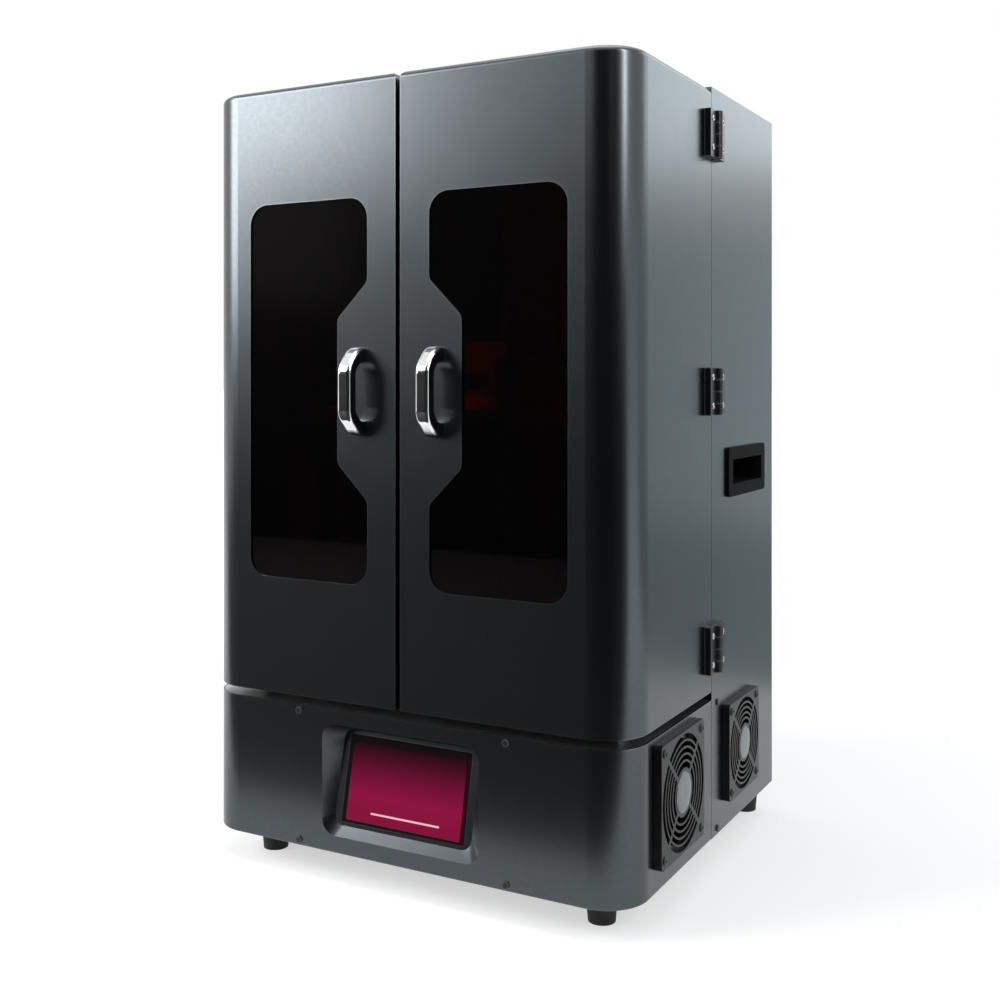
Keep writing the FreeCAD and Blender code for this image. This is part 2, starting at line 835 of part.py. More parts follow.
def fan_rotor(name, side, across, y):
    """Hub with seven blades that twist from root to tip."""
    piece = Piece(f"{name}_rotor")
    inner_face = -d.fan_thickness + d.sheet_wall * 2 + d.running_gap
    length = d.fan_thickness - d.sheet_wall * 2 - d.running_gap * 2 - d.fan_rim
    piece.pad(piece.sketch("YZ", inner_face).circle(0, 0, d.hub_radius), length)
    middle = inner_face + length / 2
    tip = across / 2 - d.fan_rim * 2
    sections = []
    for level, pitch in ((d.hub_radius - d.fan_rim, 50), (tip, 30)):
        root = piece.sketch("XY", level)
        chord = length * 0.42
        along = (math.cos(math.radians(pitch)), math.sin(math.radians(pitch)))
        thick = d.blade_thickness / 2
        corners = [(sx * chord, sy * thick) for sx, sy in ((-1, -1), (1, -1), (1, 1), (-1, 1))]
        root.polygon([(middle + a * along[0] - b * along[1], a * along[1] + b * along[0]) for a, b in corners])
        sections.append(root)
    blade = piece.feature("AdditiveLoft", Profile=sections[0].sketch)
    blade.Sections = [sections[1].sketch]
    doc.recompute()
    axis = [f for f in piece.body.Origin.OriginFeatures if f.Role == "X_Axis"][0]
    ring = piece.feature("PolarPattern", Originals=[blade], Axis=(axis, [""]), Occurrences=7)
    piece.body.Tip = ring
    piece.finish(side * inner_half, y, base_z + d.fan_rise, outward(side))


for seat in fan_seats():
    fan_frame(*seat)
    fan_rotor(*seat)
    fan_guard(*seat)


# Small outer fittings

def carry_handle(name, side):
    """A flush grip: an outer flange and a finger pocket behind it."""
    piece = Piece(name)
    wide = d.grip_length / 2
    tall = d.grip_height / 2
    piece.pad(piece.sketch("YZ", 0).rectangle(-wide, wide, -tall, tall, d.guard_margin), d.grip_lip)
    shrink = d.grip_flange - d.grip_wall
    tub = piece.sketch("YZ", 0).rectangle(shrink - wide, wide - shrink, shrink - tall, tall - shrink)
    piece.pad(tub, d.grip_depth, -1)
    inner = d.grip_flange
    hollow = piece.sketch("YZ", d.grip_lip).rectangle(inner - wide, wide - inner, inner - tall, tall - inner)
    piece.pocket(hollow, d.grip_lip + d.grip_depth - d.grip_wall, -1)
    piece.finish(side * half, front + d.grip_back, base_z + d.grip_rise, outward(side))


def cylinder(name, radius, height, x, y, z, turn=None):
    made = doc.addObject("Part::Cylinder", name)
    bind(made, "Radius", radius)
    bind(made, "Height", height)
    place(made, x, y, z, turn)
    return made


def box(name, x0, x1, y0, y1, z0, z1):
    made = doc.addObject("Part::Box", name)
    for path, low, high in (("Length", x0, x1), ("Width", y0, y1), ("Height", z0, z1)):
        bind(made, path, size(high) - size(low))
    place(made, x0, y0, z0)
    return made


def rubber_feet():
    feet = []
    for x, setback in ((d.front_foot_x, d.front_foot_back), (d.rear_foot_x, d.rear_foot_back)):
        for side in (-1, 1):
            foot = doc.addObject("Part::Cone", "foot")
            bind(foot, "Radius1", d.foot_radius - d.edge_round)
            bind(foot, "Radius2", d.foot_radius)
            bind(foot, "Height", d.foot_height)
            place(foot, side * x, front + setback, 0)
            feet.append(foot)
    group("rubber_feet", feet)


def cover_screws():
    """Four on the front of the base and two on each side panel by the seam."""
    screws = []
    facing_front = (FreeCAD.Vector(1, 0, 0), 90)
    rows = (base_z + d.screw_edge, deck_z - d.screw_edge)
    for z in rows:
        for side in (-1, 1):
            screws.append(cylinder("screw", d.screw_radius, d.screw_head, side * d.front_screw_x, front, z, facing_front))
            facing_side = (FreeCAD.Vector(0, 1, 0), 90 * side)
            y = front + d.side_screw_back
            screws.append(cylinder("screw", d.screw_radius, d.screw_head, side * half, y, z, facing_side))
    group("cover_screws", screws)


carry_handle("left_carry_handle", -1)
carry_handle("right_carry_handle", 1)
rubber_feet()
cover_screws()


# Light engine and vat

light_bottom = deck_under - d.light_height


def centred(outline, length, width, y=lcd_y, radius=None):
    return outline.rectangle(-length / 2, length / 2, y - width / 2, y + width / 2, radius)


def lcd_glass():
    keep(box("lcd_glass", -d.lcd_length / 2, d.lcd_length / 2, lcd_y - d.lcd_width / 2, lcd_y + d.lcd_width / 2,
             deck_under, deck_z), "lcd_glass")


def light_box():
    """A tapered hood that spreads the light from the LEDs to the whole glass."""
    piece = Piece("light_box")
    for kind, grow in (("AdditiveLoft", d.light_rim), ("SubtractiveLoft", -d.light_rim)):
        wide_end = piece.sketch("XY", deck_under)
        centred(wide_end, d.lcd_length + grow * 2, d.lcd_width + grow * 2)
        narrow_end = piece.sketch("XY", light_bottom)
        trim = d.light_wall * (2 if kind == "SubtractiveLoft" else 0)
        centred(narrow_end, d.sink_length - trim, d.sink_width - trim)
        made = piece.feature(kind, Profile=wide_end.sketch)
        made.Sections = [narrow_end.sketch]
    piece.finish()


def led_heat_sink():
    piece = Piece("led_heat_sink")
    piece.pad(centred(piece.sketch("XY", light_bottom), d.sink_length, d.sink_width), d.sink_plate, -1)
    fin = piece.sketch("XY", light_bottom - d.sink_plate)
    left = -d.sink_length / 2
    fin.rectangle(left, left + d.fin_thickness, lcd_y - d.sink_width / 2, lcd_y + d.sink_width / 2)
    first = piece.pad(fin, d.fin_height, -1)
    fins = piece.feature("LinearPattern", Originals=[first], Direction=(fin.sketch, ["H_Axis"]))
    bind(fins, "Length", d.sink_length - d.fin_thickness)
    bind(fins, "Occurrences", d.fin_count)
    piece.body.Tip = fins
    piece.finish()


def vat():
    film = Piece("vat_film")
    film.pad(centred(film.sketch("XY", deck_z), d.vat_length, d.vat_width, radius=d.vat_round), d.film_thickness)
    film.finish()
    frame = Piece("vat_frame")
    low = deck_z + d.film_thickness
    ring = centred(frame.sketch("XY", low), d.vat_length, d.vat_width, radius=d.vat_round)
    centred(ring, d.vat_bore_length, d.vat_bore_width, radius=d.vat_round)
    frame.pad(ring, d.vat_height)
    frame.finish()
    knobs = []
    rim_mid = (d.vat_width + d.vat_bore_width) / 4
    for side in (-1, 1):
        for end in (-1, 1):
            knobs.append(cylinder("knob", d.knob_radius, d.knob_height, side * d.vat_bore_length / 2.5,
                                  lcd_y + end * rim_mid, low + d.vat_height))
    group("vat_thumb_screws", knobs)


lcd_glass()
light_box()
led_heat_sink()
vat()


# Lift

column_top = top_z - d.column_clearance
rail_x = d.column_width / 2 - d.column_wall / 2
screw_y = column_front + d.screw_inset
carriage_z = deck_z + d.plate_height
carriage_top = carriage_z + d.carriage_height
standoff = d.sheet_wall * 2
block_front = column_front - standoff - d.block_height
coupler_z = deck_z + d.door_drop


def z_column():
    """A channel that opens forwards, with the rails on its two front edges."""
    piece = Piece("z_column")
    out = d.column_width / 2
    inside = out - d.column_wall
    web = column_front + d.column_depth - d.column_web
    rear = column_front + d.column_depth
    plan = piece.sketch("XY", deck_z).polygon([
        (-out, column_front), (-inside, column_front), (-inside, web), (inside, web),
        (inside, column_front), (out, column_front), (out, rear), (-out, rear)])
    piece.pad(plan, column_top - deck_z)
    piece.finish()


def linear_rails():
    rails = [box("rail", side * rail_x - d.rail_width / 2, side * rail_x + d.rail_width / 2,
                 column_front - d.rail_height, column_front, deck_z, column_top) for side in (-1, 1)]
    group("linear_rails", rails)


def guide_blocks():
    """Sliders that wrap round the head of each rail."""
    piece = Piece("guide_block")
    out = d.block_width / 2
    slot = d.rail_width / 2 + d.running_gap
    rear = block_front + d.block_height
    head = column_front - d.rail_height - d.running_gap
    low = (d.carriage_height - d.block_length) / 2
    plan = piece.sketch("XY", carriage_z + low).polygon([
        (-out, block_front), (out, block_front), (out, rear), (slot, rear),
        (slot, head), (-slot, head), (-slot, rear), (-out, rear)])
    piece.pad(plan, d.block_length)
    group("guide_blocks", [linked_copy(piece.body, side * rail_x, 0, 0) for side in (-1, 1)])


def z_motor():
    piece = Piece("z_motor")
    across = d.motor_size
    piece.pad(centred(piece.sketch("XY", deck_under), across, across, screw_y, d.guard_margin), d.motor_length, -1)
    bore = piece.sketch("XY", deck_under).circle(0, screw_y, d.motor_shaft_radius + d.shaft_clearance)
    piece.pocket(bore, d.motor_length / 2, -1)
    piece.finish()


def shaft_coupler():
    piece = Piece("shaft_coupler")
    piece.pad(piece.sketch("XY", coupler_z).circle(0, screw_y, d.coupler_radius), d.coupler_length)
    piece.pad(piece.sketch("XY", coupler_z).circle(0, screw_y, d.motor_shaft_radius), d.motor_length / 3, -1)
    piece.finish()


def screw_bearing():
    piece = Piece("screw_bearing")
    inside = d.column_width / 2 - d.column_wall
    seat = piece.sketch("XY", column_top - d.bearing_height)
    seat.rectangle(-inside, inside, column_front, column_front + d.column_depth - d.column_web)
    seat.circle(0, screw_y, d.screw_rod_radius + d.shaft_clearance)
    piece.pad(seat, d.bearing_height)
    piece.finish()


def carriage():
    """Plate, nut, arm and platform, all riding on the guide blocks."""
    wide = rail_x + d.block_width / 2
    keep(box("carriage_plate", -wide, wide, block_front - d.carriage_thickness, block_front,
             carriage_z, carriage_top), "carriage_plate")
    nut = Piece("screw_nut")
    middle = carriage_z + d.carriage_height / 2 - d.nut_height / 2
    seat = nut.sketch("XY", middle)
    seat.rectangle(-d.nut_width / 2, d.nut_width / 2, block_front, screw_y + d.screw_inset - standoff)
    seat.circle(0, screw_y, d.screw_rod_radius + d.shaft_clearance)
    nut.pad(seat, d.nut_height)
    nut.finish()
    arm = Piece("carriage_arm")
    root = block_front - d.carriage_thickness
    nose = lcd_y - d.neck_block / 2
    under = carriage_top - d.arm_nose
    profile = arm.sketch("YZ", -d.arm_width / 2).polygon([
        (root, under - d.carriage_thickness), (root, carriage_top), (nose, carriage_top), (nose, under),
        (lcd_y + d.neck_block / 2, under)])
    arm.pad(profile, d.arm_width)
    arm.finish()
    keep(box("build_plate", -d.build_length / 2, d.build_length / 2, lcd_y - d.build_width / 2,
             lcd_y + d.build_width / 2, carriage_z, carriage_z + d.build_thickness), "build_plate")
    mount = Piece("platform_mount")
    block = centred(mount.sketch("XY", carriage_z + d.build_thickness), d.neck_block, d.neck_block, radius=d.guard_margin)
    mount.pad(block, under - carriage_z - d.build_thickness)
    mount.finish()
    knob_z = carriage_z + d.build_thickness + d.neck_block / 2 - d.edge_round
    keep(cylinder("platform_knob", d.knob_radius, d.knob_height, 0, nose, knob_z,
                  (FreeCAD.Vector(1, 0, 0), 90)), "platform_knob")


z_column()
linear_rails()
guide_blocks()
z_motor()
shaft_coupler()
rod_low = coupler_z + d.coupler_length
keep(cylinder("lead_screw", d.screw_rod_radius, column_top - rod_low, 0, screw_y, rod_low), "lead_screw")
screw_bearing()
carriage()


# Electronics and back fittings

plate_inner = back - d.back_inset


def power_inlet():
    """Socket and switch housing in the back panel."""
    piece = Piece("power_inlet")
    wide = d.inlet_width / 2
    tall = d.inlet_height / 2
    flange = d.inlet_lip
    piece.pad(piece.sketch("XZ", plate_inner).rectangle(-wide - flange, wide + flange, -tall - flange, tall + flange,
                                                        flange), d.back_inset - d.running_gap)
    piece.pad(piece.sketch("XZ", plate_inner).rectangle(-wide, wide, -tall, tall), d.inlet_depth, -1)
    socket = piece.sketch("XZ", plate_inner + d.back_inset)
    socket_half = wide - flange
    socket.rectangle(-socket_half, socket_half, flange - tall, -flange, flange)
    piece.pocket(socket, d.inlet_depth * 0.7, -1)
    rocker_mid = rocker_offset()
    slot = piece.sketch("XZ", plate_inner + d.back_inset)
    reach = d.rocker_height / 2 + 1
    slot.rectangle(-d.rocker_width / 2 - d.running_gap, d.rocker_width / 2 + d.running_gap,
                   rocker_mid - reach, rocker_mid + reach)
    piece.pocket(slot, d.inlet_depth * 0.7, -1)
    pivot = piece.sketch("YZ", -d.rocker_width / 2 - flange)
    pivot.circle(rocker_pivot_y, rocker_mid, d.edge_round + d.shaft_clearance)
    piece.pocket(pivot, d.rocker_width + flange * 2)
    piece.finish(-d.inlet_x, 0, base_z + d.inlet_rise)


def rocker_offset():
    return d.inlet_height / 2 - d.inlet_lip - d.rocker_height / 2


rocker_pivot_y = plate_inner - d.inlet_lip


def power_switch():
    """A rocker on a pin, its outer face a shallow V."""
    piece = Piece("power_switch")
    tall = d.rocker_height / 2
    deep = d.inlet_lip * 2
    profile = piece.sketch("YZ", -d.rocker_width / 2).polygon([
        (-deep, -tall), (d.inlet_lip, -tall), (d.inlet_lip - 1, 0), (d.inlet_lip, tall), (-deep, tall)])
    piece.pad(profile, d.rocker_width)
    pin = piece.sketch("YZ", -d.rocker_width / 2 - d.edge_round).circle(0, 0, d.edge_round)
    piece.pad(pin, d.rocker_width + d.edge_round * 2)
    piece.finish(-d.inlet_x, rocker_pivot_y, base_z + d.inlet_rise + rocker_offset())


def data_ports():
    """USB and network sockets, open to the back."""
    sockets = []
    for along, wide, tall in PORT_SIZES:
        x = d.port_x + along
        z = base_z + d.port_rise
        shell = box("port_shell", x - wide / 2, x + wide / 2, plate_inner - d.inlet_depth / 2, plate_inner,
                    z - tall / 2, z + tall / 2)
        wall = d.sheet_wall
        hollow = box("port_hollow", x - wide / 2 + wall, x + wide / 2 - wall, plate_inner - d.inlet_depth / 2 + wall,
                     plate_inner + wall, z - tall / 2 + wall, z + tall / 2 - wall)
        cut = doc.addObject("Part::Cut", "port")
        cut.Base = shell
        cut.Tool = hollow
        sockets.append(cut)
    group("data_ports", sockets)


electronics_y = lcd_y + d.vat_bore_width / 2 - d.flange_width + d.fan_rim


def power_supply():
    right = -d.motor_size + d.knob_radius
    keep(box("power_supply", right - d.supply_length, right, electronics_y, electronics_y + d.supply_width,
             pan_z, pan_z + d.supply_height), "power_supply")


def main_board():
    """A board on four posts, with two driver coolers."""
    piece = Piece("main_board")
    left = d.motor_size - d.knob_radius
    inset = d.post_radius
    posts = piece.sketch("XY", pan_z)
    piece.pad(piece.sketch("XY", pan_z + d.board_lift).rectangle(
        left, left + d.board_length, electronics_y, electronics_y + d.board_width), d.board_thickness)
    for x in (left + inset, left + d.board_length - inset):
        for y in (electronics_y + inset, electronics_y + d.board_width - inset):
            posts.circle(x, y, d.post_radius / 2)
    piece.pad(posts, d.board_lift)
    for step in (1, 2):
        chip_x = left + d.board_length * step / 3
        chip = piece.sketch("XY", pan_z + d.board_lift + d.board_thickness)
        chip.rectangle(chip_x - d.knob_radius, chip_x + d.knob_radius, electronics_y + d.flange_width,
                       electronics_y + d.flange_width * 2)
        piece.pad(chip, d.knob_height)
    piece.finish()


def deck_posts():
    posts = []
    for side in (-1, 1):
        for y in (front + d.corner_radius, plate_inner - d.flange_width * 1.5):
            posts.append(cylinder("post", d.post_radius, deck_under - pan_z, side * d.rear_foot_x, y, pan_z))
    group("deck_posts", posts)


power_inlet()
power_switch()
data_ports()
power_supply()
main_board()
deck_posts()


def check_and_write():
    """Stops on any failed object, then writes one STEP file for each sub-part."""
    doc.recompute()
    for made in doc.Objects:
        if "Invalid" in made.State or "Error" in made.State:
            raise RuntimeError(f"{made.Label} failed: {made.State}")
    os.makedirs("parts", exist_ok=True)
    for part in sub_parts:
        if part.Shape.isNull() or not part.Shape.isValid():
            raise RuntimeError(f"{part.Label} has no valid shape")
        part.Shape.exportStep(f"parts/{part.Label}.step")


check_and_write()
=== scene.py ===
import json
import math

import bmesh
import bpy
from mathutils import Matrix, Vector

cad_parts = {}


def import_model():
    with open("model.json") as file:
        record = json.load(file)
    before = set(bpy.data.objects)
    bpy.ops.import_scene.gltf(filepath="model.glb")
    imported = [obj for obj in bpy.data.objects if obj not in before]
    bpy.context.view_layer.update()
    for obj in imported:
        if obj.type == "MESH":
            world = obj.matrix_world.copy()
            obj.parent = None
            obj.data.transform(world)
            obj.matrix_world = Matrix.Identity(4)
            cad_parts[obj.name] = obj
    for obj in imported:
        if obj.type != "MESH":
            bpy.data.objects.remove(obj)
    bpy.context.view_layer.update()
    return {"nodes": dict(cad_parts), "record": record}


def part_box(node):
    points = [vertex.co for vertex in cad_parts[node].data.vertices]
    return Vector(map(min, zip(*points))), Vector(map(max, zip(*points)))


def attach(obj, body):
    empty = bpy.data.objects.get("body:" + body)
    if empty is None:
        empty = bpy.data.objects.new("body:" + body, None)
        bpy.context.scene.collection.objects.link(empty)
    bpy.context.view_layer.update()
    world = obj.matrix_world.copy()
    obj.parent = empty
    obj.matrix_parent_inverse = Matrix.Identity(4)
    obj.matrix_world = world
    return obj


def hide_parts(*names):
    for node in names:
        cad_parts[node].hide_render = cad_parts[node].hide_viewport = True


# Looks of the resin printer: finishes, small fasteners, the screen's picture, floor, lights and camera.

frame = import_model()
nodes = frame["nodes"]
MM = 0.001

# Both sides of the printer, with the way each one faces along X
SIDES = (("left", -1), ("right", 1))


# Material helpers

# Sockets of a Mix node that mixes colours
MIX_BASE = 6
MIX_OVER = 7
MIX_RESULT = 2


class Finish:
    """One node material around a Principled shader."""

    def __init__(self, name, colour, roughness, metallic=0.0, **sockets):
        self.material = bpy.data.materials.new(name)
        self.material.use_nodes = True
        self.tree = self.material.node_tree
        self.shader = self.tree.nodes["Principled BSDF"]
        self.colour = colour
        self.roughness = roughness
        self.shader.inputs["Base Color"].default_value = (*colour, 1)
        self.shader.inputs["Roughness"].default_value = roughness
        self.shader.inputs["Metallic"].default_value = metallic
        for socket, value in sockets.items():
            self.shader.inputs[socket.replace("_", " ")].default_value = value
        self.place = self.add("ShaderNodeTexCoord").outputs["Object"]

    def add(self, kind, **settings):
        node = self.tree.nodes.new(kind)
        for key, value in settings.items():
            setattr(node, key, value)
        return node

    def link(self, source, target):
        self.tree.links.new(source, target)

    def noise(self, scale, detail=3, stretch=(1, 1, 1)):
        """Noise in the object's own frame; stretch makes it run along an axis."""
        mapping = self.add("ShaderNodeMapping")
        mapping.inputs["Scale"].default_value = stretch
        self.link(self.place, mapping.inputs["Vector"])
        node = self.add("ShaderNodeTexNoise")
        node.inputs["Scale"].default_value = scale
        node.inputs["Detail"].default_value = detail
        self.link(mapping.outputs["Vector"], node.inputs["Vector"])
        return node.outputs["Fac"]

    def spread(self, source, low, high):
        """Maps a 0 to 1 value onto a range."""
        node = self.add("ShaderNodeMapRange")
        node.inputs["To Min"].default_value = low
        node.inputs["To Max"].default_value = high
        self.link(source, node.inputs["Value"])
        return node.outputs["Result"]

    def mottle(self, scale, amount, stretch=(1, 1, 1)):
        """Varies the base colour a little around its own value."""
        ramp = self.add("ShaderNodeValToRGB")
        ramp.color_ramp.elements[0].color = (*[c * (1 - amount) for c in self.colour], 1)
        ramp.color_ramp.elements[1].color = (*[min(1, c * (1 + amount)) for c in self.colour], 1)
        ramp.color_ramp.elements[0].position = 0.3
        ramp.color_ramp.elements[1].position = 0.7
        self.link(self.noise(scale, 4, stretch), ramp.inputs["Fac"])
        self.link(ramp.outputs["Color"], self.shader.inputs["Base Color"])
        return ramp.outputs["Color"]

    def uneven_gloss(self, scale, amount, stretch=(1, 1, 1)):
        low = max(0.01, self.roughness - amount)
        result = self.spread(self.noise(scale, 4, stretch), low, self.roughness + amount)
        self.link(result, self.shader.inputs["Roughness"])

    def grain(self, scale, strength, distance=0.02 * MM, stretch=(1, 1, 1)):
        """Fine surface relief."""
        bump = self.add("ShaderNodeBump")
        bump.inputs["Strength"].default_value = strength
        bump.inputs["Distance"].default_value = distance
        self.link(self.noise(scale, 2, stretch), bump.inputs["Height"])
        self.link(bump.outputs["Normal"], self.shader.inputs["Normal"])

    def worn_edges(self, base, bright, reach=1 * MM):
        """Lightens the convex edges, where handling polishes the finish."""
        inside = self.add("ShaderNodeAmbientOcclusion", inside=True, only_local=True, samples=4)
        inside.inputs["Distance"].default_value = reach
        edge = self.add("ShaderNodeMapRange")
        edge.inputs["From Min"].default_value = 0.95
        edge.inputs["From Max"].default_value = 0.45
        self.link(inside.outputs["AO"], edge.inputs["Value"])
        worn = self.blend(base, bright, edge.outputs["Result"])
        self.link(worn, self.shader.inputs["Base Color"])

    def blend(self, base, over, amount):
        """Lays a plain colour over a linked one by a linked amount."""
        mix = self.add("ShaderNodeMix", data_type="RGBA")
        mix.inputs[MIX_OVER].default_value = (*over, 1)
        self.link(amount, mix.inputs["Factor"])
        self.link(base, mix.inputs[MIX_BASE])
        return mix.outputs[MIX_RESULT]


# Finishes: one for each material slot of the record, and a duller black

def painted_steel():
    """Dark grey metallic paint with a faint orange peel."""
    finish = Finish("painted_steel", (0.078, 0.087, 0.094), 0.26, 1.0)
    finish.worn_edges(finish.mottle(300, 0.05), (0.16, 0.175, 0.185))
    finish.uneven_gloss(45, 0.015)
    finish.grain(900, 0.12)
    return finish.material


def black_plastic():
    finish = Finish("black_plastic", (0.008, 0.008, 0.009), 0.3, Specular_IOR_Level=0.18)
    finish.mottle(60, 0.2)
    finish.grain(1400, 0.35)
    return finish.material


def matt_black():
    finish = Finish("matt_black", (0.005, 0.005, 0.005), 0.55, Specular_IOR_Level=0.03)
    finish.mottle(60, 0.2)
    finish.grain(1400, 0.35)
    return finish.material


def hinge_black():
    finish = Finish("hinge_black", (0.008, 0.008, 0.009), 0.24, Specular_IOR_Level=0.3)
    finish.worn_edges(finish.mottle(90, 0.2), (0.1, 0.1, 0.1))
    finish.grain(700, 0.15)
    return finish.material


def tinted_acrylic():
    """Deep red sheet that holds back the light that would cure the resin."""
    finish = Finish("tinted_acrylic", (0.2, 0.002, 0.006), 0.03, Transmission_Weight=1.0, IOR=1.49,
                    Specular_IOR_Level=0.0)
    finish.mottle(7, 0.03)
    finish.grain(35, 0.02)
    return finish.material


def chrome():
    finish = Finish("chrome", (0.78, 0.79, 0.8), 0.07, 1.0)
    finish.mottle(50, 0.04)
    finish.uneven_gloss(120, 0.03)
    return finish.material


def rubber():
    finish = Finish("rubber", (0.008, 0.008, 0.008), 0.75)
    finish.mottle(80, 0.25)
    finish.grain(1800, 0.5)
    return finish.material


def screw_black():
    finish = Finish("screw_black", (0.009, 0.009, 0.01), 0.3, Specular_IOR_Level=0.3)
    finish.worn_edges(finish.mottle(300, 0.2), (0.1, 0.1, 0.1))
    return finish.material


def screen_glass():
    finish = Finish("screen_glass", (0.01, 0.004, 0.006), 0.08, Coat_Weight=0.6)
    finish.mottle(20, 0.15)
    finish.uneven_gloss(60, 0.03)
    return finish.material


def brushed(name, colour, roughness, stretch):
    finish = Finish(name, colour, roughness, 1.0)
    finish.mottle(120, 0.06, stretch)
    finish.uneven_gloss(160, 0.08, stretch)
    finish.grain(400, 0.2, stretch=stretch)
    return finish.material


def film():
    finish = Finish("film", (0.8, 0.82, 0.84), 0.08, Transmission_Weight=0.9, IOR=1.35)
    finish.mottle(15, 0.03)
    return finish.material


def light_box():
    finish = Finish("light_box", (0.62, 0.62, 0.6), 0.5)
    finish.mottle(50, 0.04)
    finish.grain(900, 0.2)
    return finish.material


def board():
    finish = Finish("board", (0.015, 0.11, 0.045), 0.35)
    finish.mottle(350, 0.35)
    finish.grain(600, 0.4)
    return finish.material


FINISHES = {
    "painted_steel": painted_steel(),
    "black_plastic": black_plastic(),
    "matt_black": matt_black(),
    "hinge_black": hinge_black(),
    "tinted_acrylic": tinted_acrylic(),
    "chrome": chrome(),
    "rubber": rubber(),
    "screw_black": screw_black(),
    "screen_glass": screen_glass(),
    "aluminium": brushed("aluminium", (0.56, 0.57, 0.58), 0.32, (1, 20, 20)),
    "steel": brushed("steel", (0.46, 0.46, 0.47), 0.26, (20, 20, 1)),
    "brass": brushed("brass", (0.62, 0.46, 0.2), 0.3, (1, 1, 20)),
    "film": film(),
    "light_box": light_box(),
    "board": board(),
}


# Nodes whose finish differs from the rest of their slot
SPECIAL = {}
for side in ("left", "right"):
    SPECIAL[f"{side}_window_retainer"] = FINISHES["painted_steel"]
    SPECIAL[f"{side}_carry_handle"] = FINISHES["matt_black"]

# Faces that meet at less than this angle are shaded as one
SMOOTH_ANGLE = math.radians(32)
# Faces that meet at less than this angle lie in one plane
FLAT_ANGLE = math.radians(0.1)
# A plane patch is flat if it has this many times the area of any patch that it is shaded with
FLAT_RIVAL = 4


def flat_patches(shape):
    """Numbers the coplanar patches of a mesh and tells which are truly flat, not facets of a round face."""
    patch = {}
    areas = []
    for first in shape.faces:
        if first in patch:
            continue
        patch[first] = len(areas)
        area = 0
        queue = [first]
        while queue:
            face = queue.pop()
            area += face.calc_area()
            for edge in face.edges:
                for other in edge.link_faces:
                    if other not in patch and face.normal.angle(other.normal, 0) < FLAT_ANGLE:
                        patch[other] = len(areas)
                        queue.append(other)
        areas.append(area)
    rival = [0] * len(areas)
    for edge in shape.edges:
        for face in edge.link_faces:
            for other in edge.link_faces:
                if patch[face] != patch[other] and face.normal.angle(other.normal, 0) < SMOOTH_ANGLE:
                    rival[patch[face]] = max(rival[patch[face]], areas[patch[other]])
    return patch, [area > FLAT_RIVAL * other for area, other in zip(areas, rival)]


def shade(made):
    """Gives flat faces their own normal and rounds a smooth one that runs into it."""
    shape = bmesh.new()
    shape.from_mesh(made.data)
    shape.normal_update()
    patch, is_flat = flat_patches(shape)
    normals = []
    for face in shape.faces:
        for corner in face.loops:
            near = {patch[f]: f.normal for f in corner.vert.link_faces
                    if f.normal.angle(face.normal, 0) < SMOOTH_ANGLE}
            flats = [normal for number, normal in near.items() if is_flat[number]]
            if flats:
                normals.append(max(flats, key=face.normal.dot).copy())
            else:
                normals.append(sum(near.values(), Vector()).normalized())
    shape.free()
    made.data.normals_split_custom_set(normals)


def dress_frame():
    """Gives each CAD node the finish of its slot."""
    for sub_part in frame["record"]["subparts"]:
        made = nodes[sub_part["node"]]
        made.data.materials.clear()
        made.data.materials.append(SPECIAL.get(sub_part["node"]) or FINISHES[sub_part["material_slot"]])
        shade(made)


dress_frame()


# Small pieces

def piece(name, mesh_maker, material, body, seat=Matrix()):
    """A new mesh made by a function in its seat's frame, riding on a body."""
    shape = bmesh.new()
    mesh_maker(shape)
    mesh = bpy.data.meshes.new(name)
    shape.to_mesh(mesh)
    shape.free()
    made = bpy.data.objects.new(name, mesh)
    bpy.context.scene.collection.objects.link(made)
    mesh.materials.append(material)
    made.matrix_world = seat
    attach(made, body)
    return made


def ring_points(shape, radius, rise, sides, seat, corners=0):
    """A loop of points round the seat's +Z axis; with corners it follows a polygon's outline."""
    points = []
    for i in range(sides):
        angle = math.tau * i / sides
        reach = radius
        if corners:
            half_side = math.pi / corners
            reach *= math.cos(half_side) / math.cos(angle % (2 * half_side) - half_side)
        point = Vector((reach * math.cos(angle), reach * math.sin(angle), rise))
        points.append(shape.verts.new(seat @ point))
    return points


def bridge(shape, lower, upper, smooth):
    for i, point in enumerate(lower):
        after = (i + 1) % len(lower)
        face = shape.faces.new((point, lower[after], upper[after], upper[i]))
        face.smooth = smooth


def skin(shape, loops, smooth):
    """Joins loops of points into a closed skin; returns the face on the last loop."""
    for lower, upper in zip(loops, loops[1:]):
        bridge(shape, lower, upper, smooth)
    shape.faces.new(loops[0][::-1])
    return shape.faces.new(loops[-1])


def lathe(shape, profile, sides, seat):
    """Turns a profile of (radius, rise) about the seat's axis; returns the face on its last loop."""
    loops = [ring_points(shape, radius, rise, sides, seat) for radius, rise in profile]
    return skin(shape, loops, True)


def screw_head(shape, radius, height, seat):
    """A domed head with a six-sided socket."""
    sides = 24
    mouth_reach = 0.5
    floor_rise = 0.4
    rings = ((1.0, 0.0), (1.0, 0.45), (0.86, 0.85), (0.6, 1.0), (mouth_reach, 1.0))
    mouth = lathe(shape, [(radius * reach, height * rise) for reach, rise in rings], sides, seat)
    rim = list(mouth.verts)
    shape.faces.remove(mouth)
    socket = ring_points(shape, radius * mouth_reach, height * floor_rise, sides, seat, corners=6)
    bridge(shape, rim, socket, False)
    shape.faces.new(socket)


def facing(axis, place):
    """A seat whose +Z points along an axis."""
    return Matrix.Translation(place) @ Vector(axis).to_track_quat("Z", "Y").to_matrix().to_4x4()


# Sizes of the cabinet and its hinges
HALF_WIDTH = 185 * MM
HINGE_ROWS = 3
HINGE_LENGTH = 37 * MM
HINGE_THICKNESS = 5.3 * MM
KNUCKLE_RADIUS = 4.5 * MM


